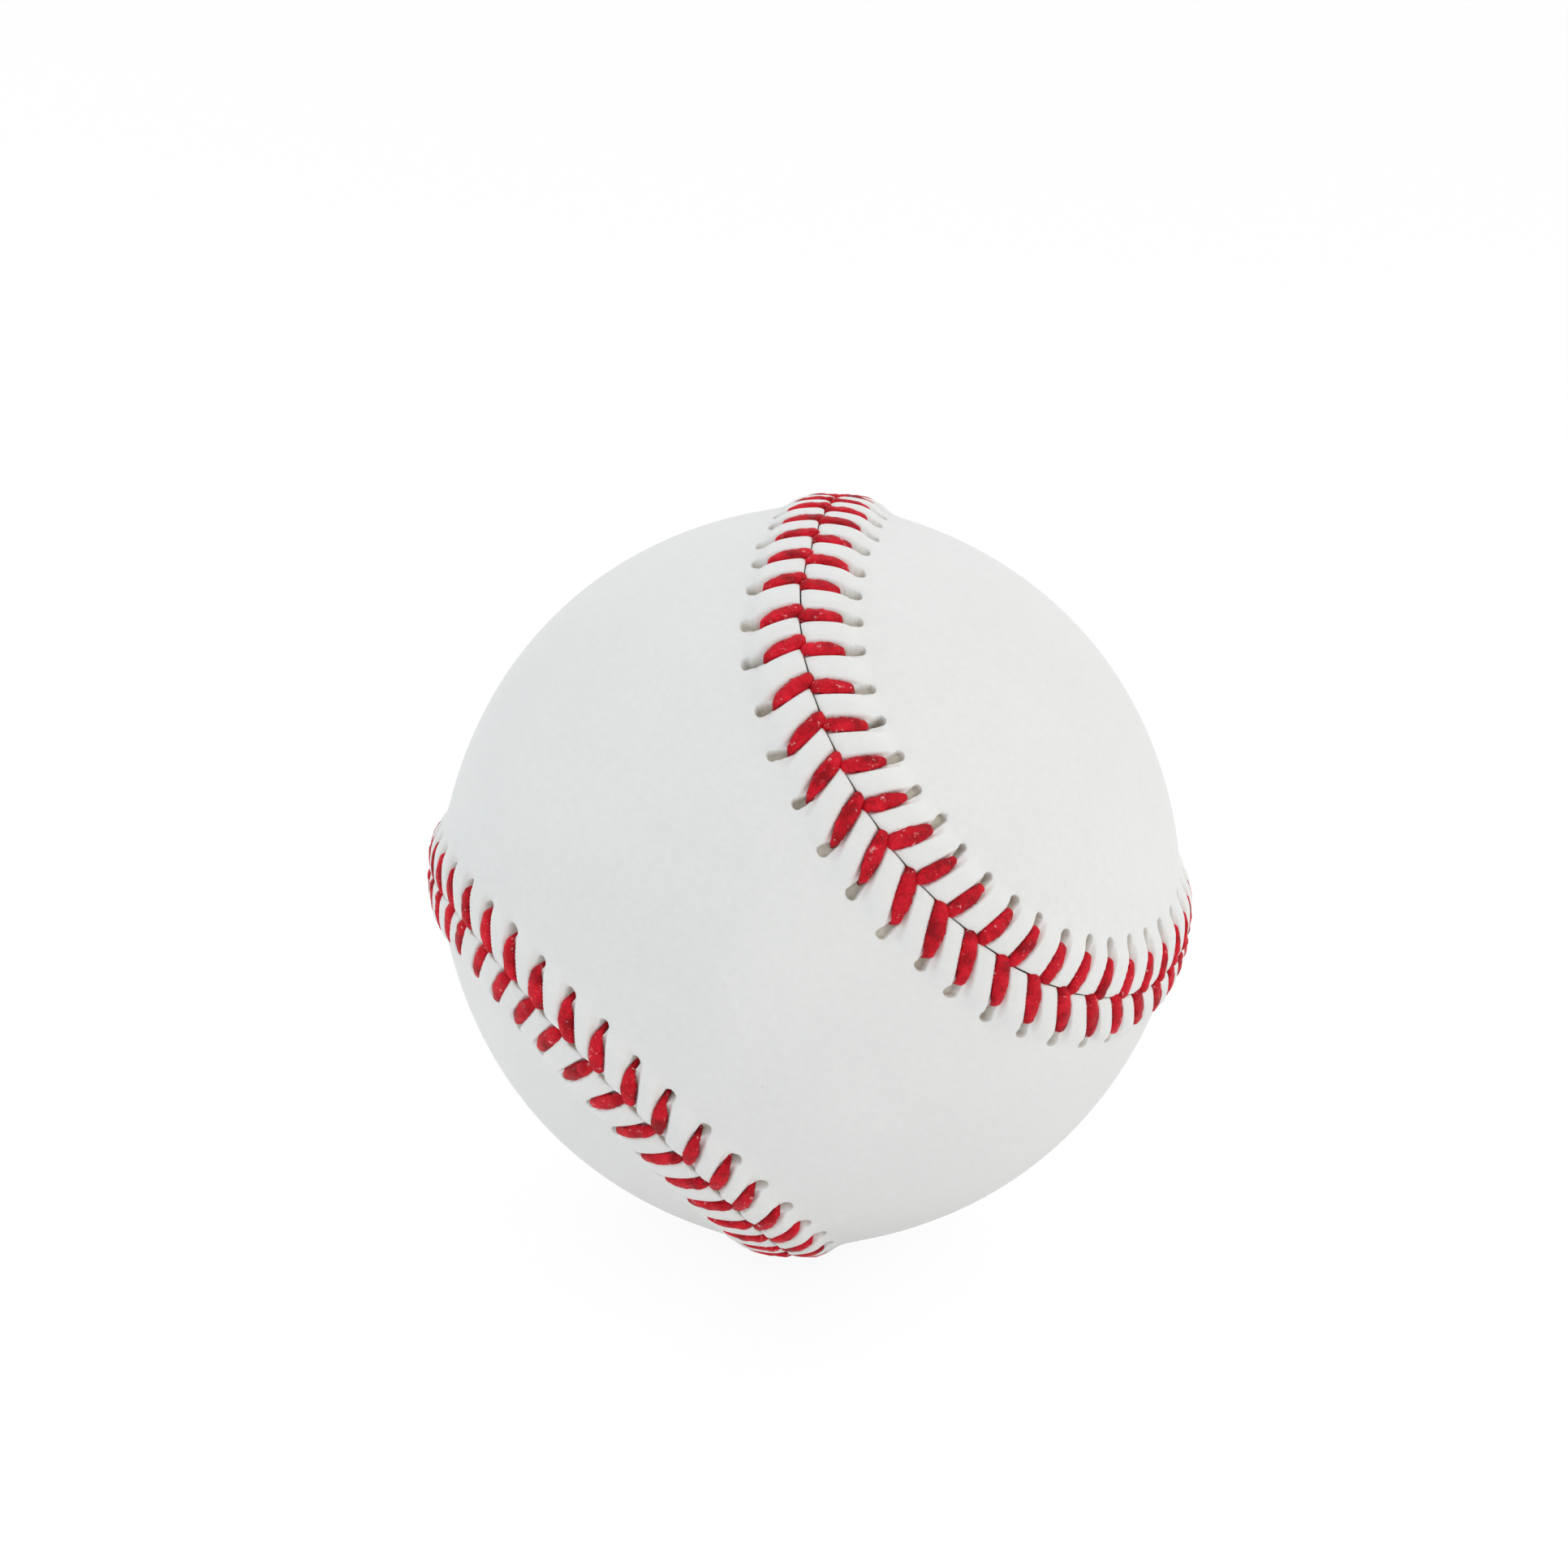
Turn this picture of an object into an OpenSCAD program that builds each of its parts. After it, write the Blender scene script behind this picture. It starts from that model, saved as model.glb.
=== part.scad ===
// Hand-sewn ball: a solid moulded core, two figure-eight leather panels and the two
// strands of waxed thread that close them with a raised seam.
//
// The origin is the middle of the ball. The front panel's waist faces -Y and the back
// panel's waist faces +Y, and the seam passes through the X and Z axes.

/* [Ball] */
// Diameter over the leather, away from the seam
ball_d = 73; // [71:0.5:75]
// Thickness of the leather
leather_t = 1.3; // [1.1:0.1:1.5]
// Cement line between the core and the leather
cement_gap = 0.1; // [0.05:0.05:0.2]

/* [Seam line] */
// Distance straight across the waist of a panel, as a share of the ball's diameter
waist_share = 0.433; // [0.4:0.001:0.45]
// Width of the round end of a panel, as a share of the ball's diameter
lobe_share = 0.682; // [0.65:0.001:0.7]
// Gap between the cut edges of the two panels
seam_gap = 0.6; // [0.56:0.02:0.8]

/* [Raised lip] */
// Height of the lip over the rest of the leather
lip_h = 1.2; // [1:0.1:1.4]
// Distance of the top of the lip from the seam line
crown_d = 2.2; // [2:0.1:2.4]
// Radius over the top of the lip
crown_r = 2.4; // [2.4:0.1:2.7]
// Radius of the hollow at the foot of the lip
foot_r = 6; // [4:0.5:8]
// Height of the channel under the lip that the thread runs in
channel_h = 0.85; // [0.8:0.05:1]

/* [Stitches] */
// Number of stitches round the whole seam, four equal quarters
stitch_count = 108; // [100:4:112]
// Distance of the inner end of a hole from the seam line
hole_d = 3.6; // [3.5:0.1:3.9]
// Length of a hole
hole_l = 1.5; // [1.3:0.1:1.8]
// Width of a hole at its widest
hole_w = 1; // [0.95:0.05:1.2]
// Depth of the groove that a stitch presses into the lip
groove_depth = 0.35; // [0.2:0.05:0.45]
// Radius of that groove
groove_r = 0.8; // [0.7:0.05:0.9]

/* [Thread] */
// Width of the flattened thread where it shows
thread_w = 1.1; // [0.9:0.05:1.2]
// Thickness of the flattened thread where it shows
thread_t = 0.55; // [0.4:0.05:0.6]
// Width of the thread where it is drawn through a hole or the seam
neck_w = 0.75; // [0.6:0.05:0.8]
// Thickness of the thread where it is drawn through a hole or the seam
neck_t = 0.42; // [0.3:0.02:0.44]
// Distance along the seam between the two strands where they pass in one stitch
strand_step = 0.9; // [0.85:0.05:1]

/* [Hidden] */
$fn = 96;

// How far a cutting shape runs past what it cuts
overrun = 3;
// Depth at which the hollow of the foot meets the leather, so that they cross cleanly
foot_dip = 0.05;
// Depth at which it meets the top of the lip, for the same reason
crown_dip = 0.03;
// Amount by which a band over a great circle is slimmer than the bands it runs into
band_step = 0.02;
// Length that it runs into them
band_lap = 0.6;
// Distance that the channel's side wall lies beyond the thread's place in the hole
channel_margin = 0.7;
// Place of the thread in a hole, from the inner end of the hole
hole_seat = 0.35;
// Height of a stitch's middle line over the bottom of its groove
groove_seat = 0.33;
// Space between the ends of a strand, which are tucked under the cover
tail_gap = 1;

// Share of the stitch spacing by which the thread runs ahead between hole and seam
lead_share = 0.42;
// Place where a hole is widest, as a share of its length from the inner end
hole_widest_share = 0.6;
// Width of a hole at its inner end, as a share of its widest
hole_inner_share = 0.76;
// Width of a hole at its outer end, as a share of its widest
hole_outer_share = 0.5;

ball_r = ball_d / 2;
inner_r = ball_r - leather_t;
core_r = inner_r - cement_gap;
channel_r = core_r + channel_h;
reach_r = ball_r + overrun;

// Seam line. On the ball each quarter of it is a small circle round the axis of a lobe,
// followed by a great circle that touches it and goes on to the next lobe's circle.
waist_angle = asin(waist_share);
lobe_angle = asin(lobe_share);
lobe_y = cos(waist_angle + lobe_angle);
lobe_xz = sqrt((1 - lobe_y * lobe_y) / 2);
lobe_axis = [lobe_xz, -lobe_y, lobe_xz];
lobe_tilt = asin(lobe_y);
run_tilt = atan2(lobe_y, lobe_xz) - acos(sin(lobe_angle) / norm([lobe_xz, lobe_y]));
run_axis = [0, -sin(run_tilt), cos(run_tilt)];
touch = unit(lobe_axis - sin(lobe_angle) * run_axis);
run_half_angle = acos(touch.x);
touch_across = unit(touch - cos(lobe_angle) * lobe_axis);
mirror_across = [touch_across.z, touch_across.y, touch_across.x];
bend_angle = acos(touch_across * mirror_across);

run_half = arc_length(run_half_angle, ball_r);
bend = arc_length(bend_angle, ball_r * sin(lobe_angle));
quarter = 2 * run_half + bend;
pitch = 4 * quarter / stitch_count;

// Lip section, in the plane square to the seam: x outwards, y away from the seam line
crown = on_section(ball_r + lip_h - crown_r, crown_d);
foot_reach = ball_r + foot_r - foot_dip;
crown_to_foot = crown_r + foot_r - crown_dip;
foot_turn = acos((foot_reach * foot_reach + crown * crown - crown_to_foot * crown_to_foot)
                 / (2 * foot_reach * norm(crown)));
foot_angle = across_angle(crown_d) + foot_turn;
foot = foot_reach * [cos(foot_angle), sin(foot_angle)];

// Stitch
hole_end = hole_d + hole_l;
needle_d = hole_d + hole_seat;
lead = lead_share * pitch;
over_h = lip_h - groove_depth + groove_seat;
under_h = -leather_t - cement_gap + channel_h / 2;

function unit(v) = v / norm(v);
function arc_length(angle, r) = r * angle * PI / 180;
function across_angle(d) = d / ball_r * 180 / PI;
function on_section(r, d) = r * [cos(across_angle(d)), sin(across_angle(d))];

// Quarter of the seam that a place lies in, counted round the ball from the X axis
function quarter_of(s) = floor((s + run_half) / quarter);
function within_quarter(s) = s - quarter_of(s) * quarter;
function on_run(s) = within_quarter(s) < run_half;

// Angle of a place round the axis of its great circle or of its lobe
function round_angle(s) =
    on_run(s) ? -across_angle(within_quarter(s))
              : -90 + bend_angle / 2
                - (within_quarter(s) - run_half) / (ball_r * sin(lobe_angle)) * 180 / PI;

// Polar angle of a place, where c is its distance from the seam on the front panel's side
function polar_angle(s, c) =
    (on_run(s) ? 90 : lobe_angle)
    + (quarter_of(s) % 2 == 0 ? 1 : -1) * across_angle(c);

function polar_point(polar, round, r) =
    r * [sin(polar) * cos(round), sin(polar) * sin(round), cos(polar)];
function tilt_x(v, a) = [v.x, v.y * cos(a) - v.z * sin(a), v.y * sin(a) + v.z * cos(a)];
function turn_y(v, a) = [v.x * cos(a) + v.z * sin(a), v.y, v.z * cos(a) - v.x * sin(a)];

// Point at s along the seam, c from it on the front panel's side and h over the leather
function seam_point(s, c, h) =
    let (
        k = quarter_of(s),
        v = polar_point(polar_angle(s, c), round_angle(s), ball_r + h),
        w = on_run(s) ? tilt_x(v, run_tilt) : turn_y(tilt_x(v, lobe_tilt), 45)
    )
    turn_y([w.x, (k % 2 == 0 ? 1 : -1) * w.y, w.z], -90 * k);

// Same place as a frame of its own, with z outwards and x away from the lobe's middle
module at_seam(s, c) {
    k = quarter_of(s);
    tilt = on_run(s) ? [run_tilt, 0, 0] : [lobe_tilt, 45, 0];
    quarter_turn(k)
        rotate(tilt)
        rotate([0, 0, round_angle(s)])
        rotate([0, polar_angle(s, c), 0])
        children();
}

// Moves the first quarter of the seam to quarter k, which swaps the panels at each step
module quarter_turn(k) {
    rotate([0, -90 * k, 0])
        mirror([0, k % 2 == 0 ? 0 : 1, 0])
        children();
}

// Carries one section along the whole seam in eight bands. The section is drawn slimmer by
// $slim, so that the end of each great circle's band lies inside the band of the lobe.
module along_seam() {
    run_angle = run_half_angle + across_angle(band_lap);
    for (k = [0:3]) {
        quarter_turn(k) {
            rotate([lobe_tilt, 45, 0])
                rotate([0, 0, -90 - bend_angle / 2])
                rotate_extrude(angle = bend_angle)
                rotate(90 - lobe_angle)
                children($slim = 0);
            rotate([run_tilt, 0, 0])
                rotate([0, 0, -run_angle])
                rotate_extrude(angle = 2 * run_angle)
                children($slim = band_step);
        }
    }
}

// Both lips of the seam as one solid ridge
module ridge_section() {
    low = inner_r - overrun + $slim;
    past = -seam_gap / 2;
    for (side = [0, 1]) {
        mirror([0, side]) {
            translate(crown)
                circle(r = crown_r - $slim);
            difference() {
                polygon([[crown.x, past], crown, foot, on_section(low, crown_d), [low, past]]);
                translate(foot)
                    circle(r = foot_r + $slim);
            }
        }
    }
}

// Slit between the two panels, and the channel under their lips
module seam_cut_section() {
    slit_half = seam_gap / 2 - $slim;
    channel_half = needle_d + channel_margin - $slim;
    translate([core_r - overrun, -slit_half])
        square([leather_t + 3 * overrun - $slim, 2 * slit_half]);
    intersection() {
        difference() {
            circle(r = channel_r - $slim);
            circle(r = inner_r - overrun + $slim);
        }
        translate([0, -channel_half])
            square([reach_r, 2 * channel_half]);
    }
}

// Ball whose poles, and the line that joins them, lie away from the ends of the bands
module ball(r) {
    rotate([90, 0, 20])
        sphere(r = r);
}

// Cone round a lobe's axis, out to the given angle
module lobe_cone(angle) {
    low = core_r / 2;
    high = 2 * ball_r;
    rotate([lobe_tilt, 45, 0])
        rotate_extrude()
        polygon([[0, low], [0, high], high * [sin(angle), cos(angle)],
                 low * [sin(angle), cos(angle)]]);
}

// Space between the two great circles that lead into a lobe, up to the lobe's middle
module lobe_root() {
    big = 2 * ball_r;
    intersection() {
        rotate([run_tilt, 0, 0])
            translate([-big, -big, 0])
            cube([2 * big, 2 * big, big]);
        rotate([0, 0, -run_tilt])
            translate([0, -big, -big])
            cube([big, 2 * big, 2 * big]);
        rotate([lobe_tilt, 45, 0])
            translate([-big, 0, -big])
            cube([2 * big, big, 2 * big]);
    }
}

// All that lies on the front panel's side of the seam line. Its walls stay in the slit.
module front_side() {
    clear_angle = across_angle(seam_gap / 4);
    big = 2 * ball_r;
    difference() {
        union() {
            for (k = [1, 3]) {
                quarter_turn(k) {
                    lobe_cone(lobe_angle - clear_angle);
                    lobe_root();
                }
            }
            translate([-big, -big, -big])
                cube([2 * big, big + touch.y * ball_r, 2 * big]);
        }
        for (k = [0, 2]) {
            quarter_turn(k)
                lobe_cone(lobe_angle + clear_angle);
        }
    }
}

// Outline of a hole. The awl leaves a teardrop, narrow towards the seam, with x outwards.
module hole_section() {
    end = hole_l / 2;
    widest = end * (2 * hole_widest_share - 1);
    half_w = hole_w / 2;
    half_inner = half_w * hole_inner_share;
    half_outer = half_w * hole_outer_share;
    polygon([[-end, -half_inner], [widest, -half_w], [end, -half_outer],
             [end, half_outer], [widest, half_w], [-end, half_inner]]);
}

// Slant of the front panel's stitches against a line square to the seam
front_slant = atan((lead + strand_step / 2) / needle_d);
// Slant of the back panel's stitches
back_slant = atan((lead - strand_step / 2) / needle_d);

// One hole of a panel, and the groove that its stitch presses into the lip at a slant
module stitch_seat(j, slant) {
    hole_s = (j - 0.5) * pitch;
    side = quarter_of(hole_s) % 2 == 0 ? 1 : -1;
    at_seam(hole_s, hole_d + hole_l / 2)
        rotate([0, 0, side > 0 ? 0 : 180])
        translate([0, 0, core_r - overrun])
        linear_extrude(height = leather_t + 3 * overrun)
        hole_section();
    groove_s = hole_s + (needle_d - crown_d) * tan(slant);
    at_seam(groove_s, crown_d)
        translate([0, 0, ball_r + lip_h - groove_depth + groove_r])
        rotate([0, 0, side * slant])
        rotate([0, 90, 0])
        cylinder(r = groove_r, h = 2 * crown_d, center = true);
}

// One cover panel in the front panel's place, with its stitches at the given slant
module cover_panel(slant) {
    difference() {
        intersection() {
            difference() {
                union() {
                    ball(ball_r);
                    along_seam()
                        ridge_section();
                }
                ball(inner_r);
                along_seam()
                    seam_cut_section();
            }
            front_side();
        }
        for (j = [0:stitch_count - 1]) {
            stitch_seat(j, slant);
        }
    }
}

module core() {
    color("#cdbb96")
        sphere(r = core_r);
}

module cover_panel_front() {
    color("#eceeef")
        cover_panel(front_slant);
}

module cover_panel_back() {
    color("#e4e7e9")
        quarter_turn(1)
        cover_panel(back_slant);
}

// Thread section: a flattened diamond, w wide and t thick
thread_sides = 4;
function section_corners(w, t) =
    [for (i = [0:thread_sides - 1])
        let (a = 90 + i * 360 / thread_sides)
        [w / 2 * cos(a), t / 2 * sin(a)]];

// Corners of the thread at one place. The section is slanted in plan and leans with the
// climb of the thread, which is 0 where it runs level towards the front panel.
function thread_ring(s, c, h, slant, climb, w, t) =
    [for (q = section_corners(w, t))
        seam_point(s + q.x * cos(slant),
                   c + q.x * sin(slant) - q.y * sin(climb),
                   h + q.y * cos(climb))];

// Way of the thread in one stitch, from under the hole over the lip and down the slit.
// Each row is the distance from the seam line, the height, the share of the way from the
// hole to the seam, the climb, and whether the thread is at its full width there.
stitch_way = [
    [needle_d, under_h, 0, 45, false],
    [needle_d, over_h - groove_depth, 0, 135, false],
    [crown_d + crown_r / 3, over_h, 1 - (crown_d + crown_r / 3) / needle_d, 165, true],
    [crown_d - crown_r / 3, over_h, 1 - (crown_d - crown_r / 3) / needle_d, 195, true],
    [0, over_h - groove_depth, 1, 235, false],
    [0, under_h, 1, 225, false],
];

// Rings of stitch j of a strand that comes from the front panel (side 1) or the back
// panel (side -1)
function stitch_rings(j, side) =
    let (
        hole_s = (j - 0.5) * pitch,
        seam_s = hole_s + lead + side * strand_step / 2,
        over_slant = side * (side > 0 ? front_slant : back_slant),
        next_slant = side * atan((hole_s + pitch - seam_s) / needle_d)
    )
    [for (i = [0:len(stitch_way) - 1])
        let (row = stitch_way[i])
        thread_ring(
            hole_s + row[2] * (seam_s - hole_s),
            side * row[0],
            row[1],
            i == 0 ? 0 : i == len(stitch_way) - 1 ? next_slant : over_slant,
            side > 0 ? row[3] : 180 - row[3],
            row[4] ? thread_w : neck_w,
            row[4] ? thread_t : neck_t)];

// Ring in the channel, at a share of the way from the slit to the next hole
function tail_ring(j, side, share) =
    let (
        hole_s = (j - 0.5) * pitch,
        seam_s = hole_s + lead + side * strand_step / 2
    )
    thread_ring(
        seam_s + share * (hole_s + pitch - seam_s),
        -side * share * needle_d,
        under_h,
        side * atan((hole_s + pitch - seam_s) / needle_d),
        side > 0 ? 180 : 0,
        neck_w,
        neck_t);

// One unbroken strand. It crosses the seam at every stitch, from each panel in turn, and
// its two ends lie under the cover, one thread's length of tail_gap apart.
module strand(first_side) {
    tail_share = tail_gap / needle_d / 2;
    last = stitch_count - 1;
    last_side = first_side * (last % 2 == 0 ? 1 : -1);
    rings = concat(
        [tail_ring(-1, -first_side, 0.5 + tail_share)],
        [for (j = [0:last]) each stitch_rings(j, first_side * (j % 2 == 0 ? 1 : -1))],
        [tail_ring(last, last_side, 0.5 - tail_share)]);
    n = thread_sides;
    ring_last = len(rings) - 1;
    polyhedron(
        points = [for (ring = rings) each ring],
        faces = concat(
            [[for (i = [0:n - 1]) i]],
            [for (r = [0:ring_last - 1], i = [0:n - 1])
                let (a = r * n + i, b = r * n + (i + 1) % n)
                each [[a, a + n, b], [b, a + n, b + n]]],
            [[for (i = [n - 1:-1:0]) ring_last * n + i]]));
}

module thread_first_needle() {
    color("#cd2436")
        strand(1);
}

module thread_second_needle() {
    color("#b81d2e")
        strand(-1);
}

core();
cover_panel_front();
cover_panel_back();
thread_first_needle();
thread_second_needle();
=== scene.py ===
import math
import bpy
import numpy as np
from mathutils import Matrix, Vector
from mathutils.geometry import delaunay_2d_cdt


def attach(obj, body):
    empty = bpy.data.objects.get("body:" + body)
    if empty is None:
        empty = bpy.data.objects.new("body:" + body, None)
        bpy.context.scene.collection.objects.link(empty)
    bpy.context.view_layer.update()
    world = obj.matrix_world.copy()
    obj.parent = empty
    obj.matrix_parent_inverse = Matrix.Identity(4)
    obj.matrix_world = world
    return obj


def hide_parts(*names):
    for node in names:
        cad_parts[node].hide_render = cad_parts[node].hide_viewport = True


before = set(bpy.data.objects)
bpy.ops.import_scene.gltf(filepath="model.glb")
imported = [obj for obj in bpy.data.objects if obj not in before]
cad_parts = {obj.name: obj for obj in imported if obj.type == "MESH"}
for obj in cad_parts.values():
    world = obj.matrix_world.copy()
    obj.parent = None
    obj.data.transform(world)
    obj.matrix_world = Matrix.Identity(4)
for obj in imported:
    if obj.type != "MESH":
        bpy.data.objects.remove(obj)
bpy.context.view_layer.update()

# A hand-sewn leather ball. The two panels and the two strands of thread are drawn here in
# finer meshes of the solids' own form. A place on the ball is given by s, its distance along
# the seam line, by c, its distance from that line, and by h, its height over the plain
# leather's sphere. Sizes are in millimetres, and the mesh data is stored in metres.
MM = 0.001
BALL_R = 36.5
# Width of a panel's waist and of its round ends, as shares of the ball's diameter
WAIST_SHARE = 0.433
LOBE_SHARE = 0.682
STITCHES = 108
# Distance from the seam line to the inner end of a hole
HOLE_C = 3.6
# Share of the pitch by which a leg runs ahead between its hole and the seam
LEAD_SHARE = 0.42
# Distance along the seam between the two strands where they pass
STRAND_STEP = 0.9
SEED = 26
TINY = 1e-9


# The seam line

# As the solids have it: small circles round the lobes, with great circles between them
waist_angle = math.asin(WAIST_SHARE)
lobe_angle = math.asin(LOBE_SHARE)
lobe_y = math.cos(waist_angle + lobe_angle)
lobe_xz = math.sqrt((1 - lobe_y ** 2) / 2)
lobe_tilt = math.asin(lobe_y)
run_tilt = math.atan2(lobe_y, lobe_xz) - math.acos(
    math.sin(lobe_angle) / math.hypot(lobe_xz, lobe_y))
lobe_axis = np.array([lobe_xz, -lobe_y, lobe_xz])
run_axis = np.array([0, -math.sin(run_tilt), math.cos(run_tilt)])
# Place where a great circle touches a lobe's circle
touch = lobe_axis - math.sin(lobe_angle) * run_axis
touch /= np.linalg.norm(touch)
run_half_angle = math.acos(touch[0])
# Angle that the seam turns through round a lobe. The touches at its two ends mirror.
touch_across = touch - math.cos(lobe_angle) * lobe_axis
touch_across /= np.linalg.norm(touch_across)
bend_angle = math.acos(float(touch_across @ touch_across[::-1]))
RUN_HALF = BALL_R * run_half_angle
QUARTER = 2 * RUN_HALF + BALL_R * math.sin(lobe_angle) * bend_angle
LENGTH = 4 * QUARTER
PITCH = LENGTH / STITCHES


def seam_direction(s, c):
    """Unit vectors from the ball's middle to places. c is positive on the front panel."""
    s, c = np.broadcast_arrays(np.asarray(s, float), np.asarray(c, float))
    quarter = np.floor((s + RUN_HALF) / QUARTER)
    within = s - quarter * QUARTER
    on_run = within < RUN_HALF
    sign = 1 - 2 * np.mod(quarter, 2)
    # Place round the circle's own axis
    polar = np.where(on_run, math.pi / 2, lobe_angle) + sign * c / BALL_R
    turn = np.where(on_run, -within / BALL_R, -math.pi / 2 + bend_angle / 2
                    - (within - RUN_HALF) / (BALL_R * math.sin(lobe_angle)))
    x = np.sin(polar) * np.cos(turn)
    y = np.sin(polar) * np.sin(turn)
    z = np.cos(polar)
    # That axis as it lies in the first quarter
    tilt = np.where(on_run, run_tilt, lobe_tilt)
    y, z = y * np.cos(tilt) - z * np.sin(tilt), y * np.sin(tilt) + z * np.cos(tilt)
    swing = np.where(on_run, 0, math.pi / 4)
    x, z = x * np.cos(swing) + z * np.sin(swing), z * np.cos(swing) - x * np.sin(swing)
    # Each quarter is the one before, turned by 90 degrees and mirrored
    back = -math.pi / 2 * quarter
    return np.stack([x * np.cos(back) + z * np.sin(back), sign * y,
                     z * np.cos(back) - x * np.sin(back)], axis=-1)


def seam_place(s, c, h):
    return seam_direction(s, c) * (BALL_R + np.asarray(h, float))[..., None]


def smooth(a, b, x):
    """Goes from 0 at a to 1 at b, level at both ends."""
    t = np.clip((x - a) / (b - a), 0, 1)
    return t * t * (3 - 2 * t)


def bell(x, width):
    return np.exp(-(x / width) ** 2)


# From stitch to stitch

rng = np.random.default_rng(SEED)
number = np.arange(STITCHES)

# The legs stand straighter over one stretch of the seam: by how much, the stitches at which
# that sets in and is full, for each panel, and those at which it fades and has ended
STRAIGHTER = 0.95
STRAIGHT_FROM = {1: (17.6, 20.2), -1: (18.4, 20.8)}
STRAIGHT_FADES, STRAIGHT_ENDS = 28, 33
# Stretches where the legs slant more, bite shorter, have their holes closer to the seam, and
# are tucked back in them. Each is an amount, a middle and a reach, the last two in stitches.
SLANTED = {1: [(0.35, 66, 6)], -1: []}
SHORTER = {1: [(0.45, 21, 4), (0.3, 66, 6)], -1: [(0.45, 21, 4), (0.6, 6, 3)]}
CLOSER = {1: [(1.0, 62, 7)], -1: []}
TUCKED = {1: [(0.55, 60.5, 5)], -1: []}
# The holes lean in one slow wave, whose middle lies at the stitch LEAN_AT
LEAN_WAVE, LEAN_AT = 0.36, 42
# Height of the highest floor of a hole, and how much lower the floors reach
HOLE_FLOOR_H, HOLE_FLOOR_RANGE = -0.32, 1.15


def summed(stretches):
    """What some stretches of the seam give each stitch in all."""
    total = np.zeros(STITCHES)
    for amount, middle, reach in stretches:
        total = total + amount * bell(number - middle, reach)
    return total


def draw(mean, spread):
    return rng.normal(mean, spread, STITCHES)


def stitch_variety(side):
    """Values for each stitch of one panel, which differ at random and by the stretches."""
    straighter = (STRAIGHTER * smooth(*STRAIGHT_FROM[side], number)
                  * smooth(STRAIGHT_ENDS, STRAIGHT_FADES, number))
    tucked = summed(TUCKED[side])
    lean_wave = LEAN_WAVE * np.cos(2 * np.pi * (number - LEAN_AT) / STITCHES)
    return {
        # The hole: its outer end's radius and distance from the seam, the slope of its
        # middle line, and the height of its floor
        "hole_r": draw(0.47, spread=0.05),
        "hole_end": draw(5.1, spread=0.12) - summed(CLOSER[side]),
        "hole_lean": draw(0, spread=0.08) - lean_wave + tucked,
        "hole_floor": HOLE_FLOOR_H - HOLE_FLOOR_RANGE * rng.random(STITCHES) ** 3,
        # The leg: its width and thickness as factors, its shift along the seam, what is
        # added to its run ahead, and how much further out it starts
        "width": draw(1.0, spread=0.06),
        "height": draw(1.0, spread=0.05),
        "shift": draw(0, spread=0.1) + straighter,
        "lead": draw(0, spread=0.08) - straighter + summed(SLANTED[side]),
        "start": draw(0, spread=0.1) - summed(SHORTER[side]),
        # How far the leg is drawn back along the seam as it dives into its hole
        "tuck": tucked,
        # The height of the leather between two stitches, as a factor
        "pillow": draw(1.0, spread=0.1),
    }


variety = {side: stitch_variety(side) for side in (1, -1)}


def foot_shift(side):
    """How far along the seam a leg runs ahead, from its hole to the seam line."""
    return LEAD_SHARE * PITCH + side * STRAND_STEP / 2


# The leather's relief

# Slow rise of the leather towards the seam
SWELL_H, SWELL_REACH = 0.42, 10.5
# The lip, the middle of its outer flank, and the length that this flank falls over
LIP_H, LIP_FLANK_C, LIP_FLANK_REACH = 1.06, 4.1, 0.52
# Rounding of the cut edge
EDGE_ROUND_H, EDGE_ROUND_REACH = 0.36, 0.34
# Groove under a leg: half width of its floor and at its rim, and its depth as a share of the
# lip's height. It is shallower at the cut edge, and fades out over the hole.
GROOVE_FLOOR, GROOVE_RIM = 0.44, 0.86
GROOVE_SHARE, GROOVE_EDGE_SHARE, GROOVE_EDGE_C = 0.68, 0.62, 0.9
GROOVE_FULL_C, GROOVE_END_C = 3.9, 5.0
# Pillow between two grooves: its height, and the shares of half the pitch over which it rises
PILLOW_H, PILLOW_FOOT, PILLOW_TOP = 0.12, 0.4, 0.95
PILLOW_FULL_C, PILLOW_END_C = 3.4, 5.2
# Low ripple beyond the holes
RIPPLE_H, RIPPLE_C, RIPPLE_REACH = 0.045, 5.0, 1.5
# Teardrop hole: inner end of its neck, the neck's half width and the slope of its tip
NECK_C, NECK_HALF, TIP_SLOPE = 3.4, 0.24, 1.3
# Start and end of a hole's wall, over its outline, and reach of the dimple round it
WALL_OUT, WALL_IN, DIMPLE_REACH = 0.035, -0.05, 0.32
# The seam is drawn to the front panel in one slow wave, whose top lies at DRIFT_S
DRIFT, DRIFT_WAVE, DRIFT_S = 0.2, 0.22, 240
# The edges drift across between two stitches, by more round DRIFT_S, and step back
STEP, STEP_WAVE = 0.42, 0.18
# Where the drift starts and turns back, as shares of the pitch, and its middle as a share of
# the step
STEP_START, STEP_TURN, STEP_MIDDLE = 0.12, 0.84, 0.2
# How far a leg's line is followed beyond the seam, as a share of its length
LEG_BEYOND_SHARE = -0.35
# Further than any leg lies
FAR = 99.0


def swell(c):
    return SWELL_H * bell(c, SWELL_REACH)


def lip(c):
    """Height of the lip between the grooves, over the swell."""
    body = LIP_H / (1 + np.exp((c - LIP_FLANK_C) / LIP_FLANK_REACH))
    return body - EDGE_ROUND_H * np.exp(-c / EDGE_ROUND_REACH)


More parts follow.
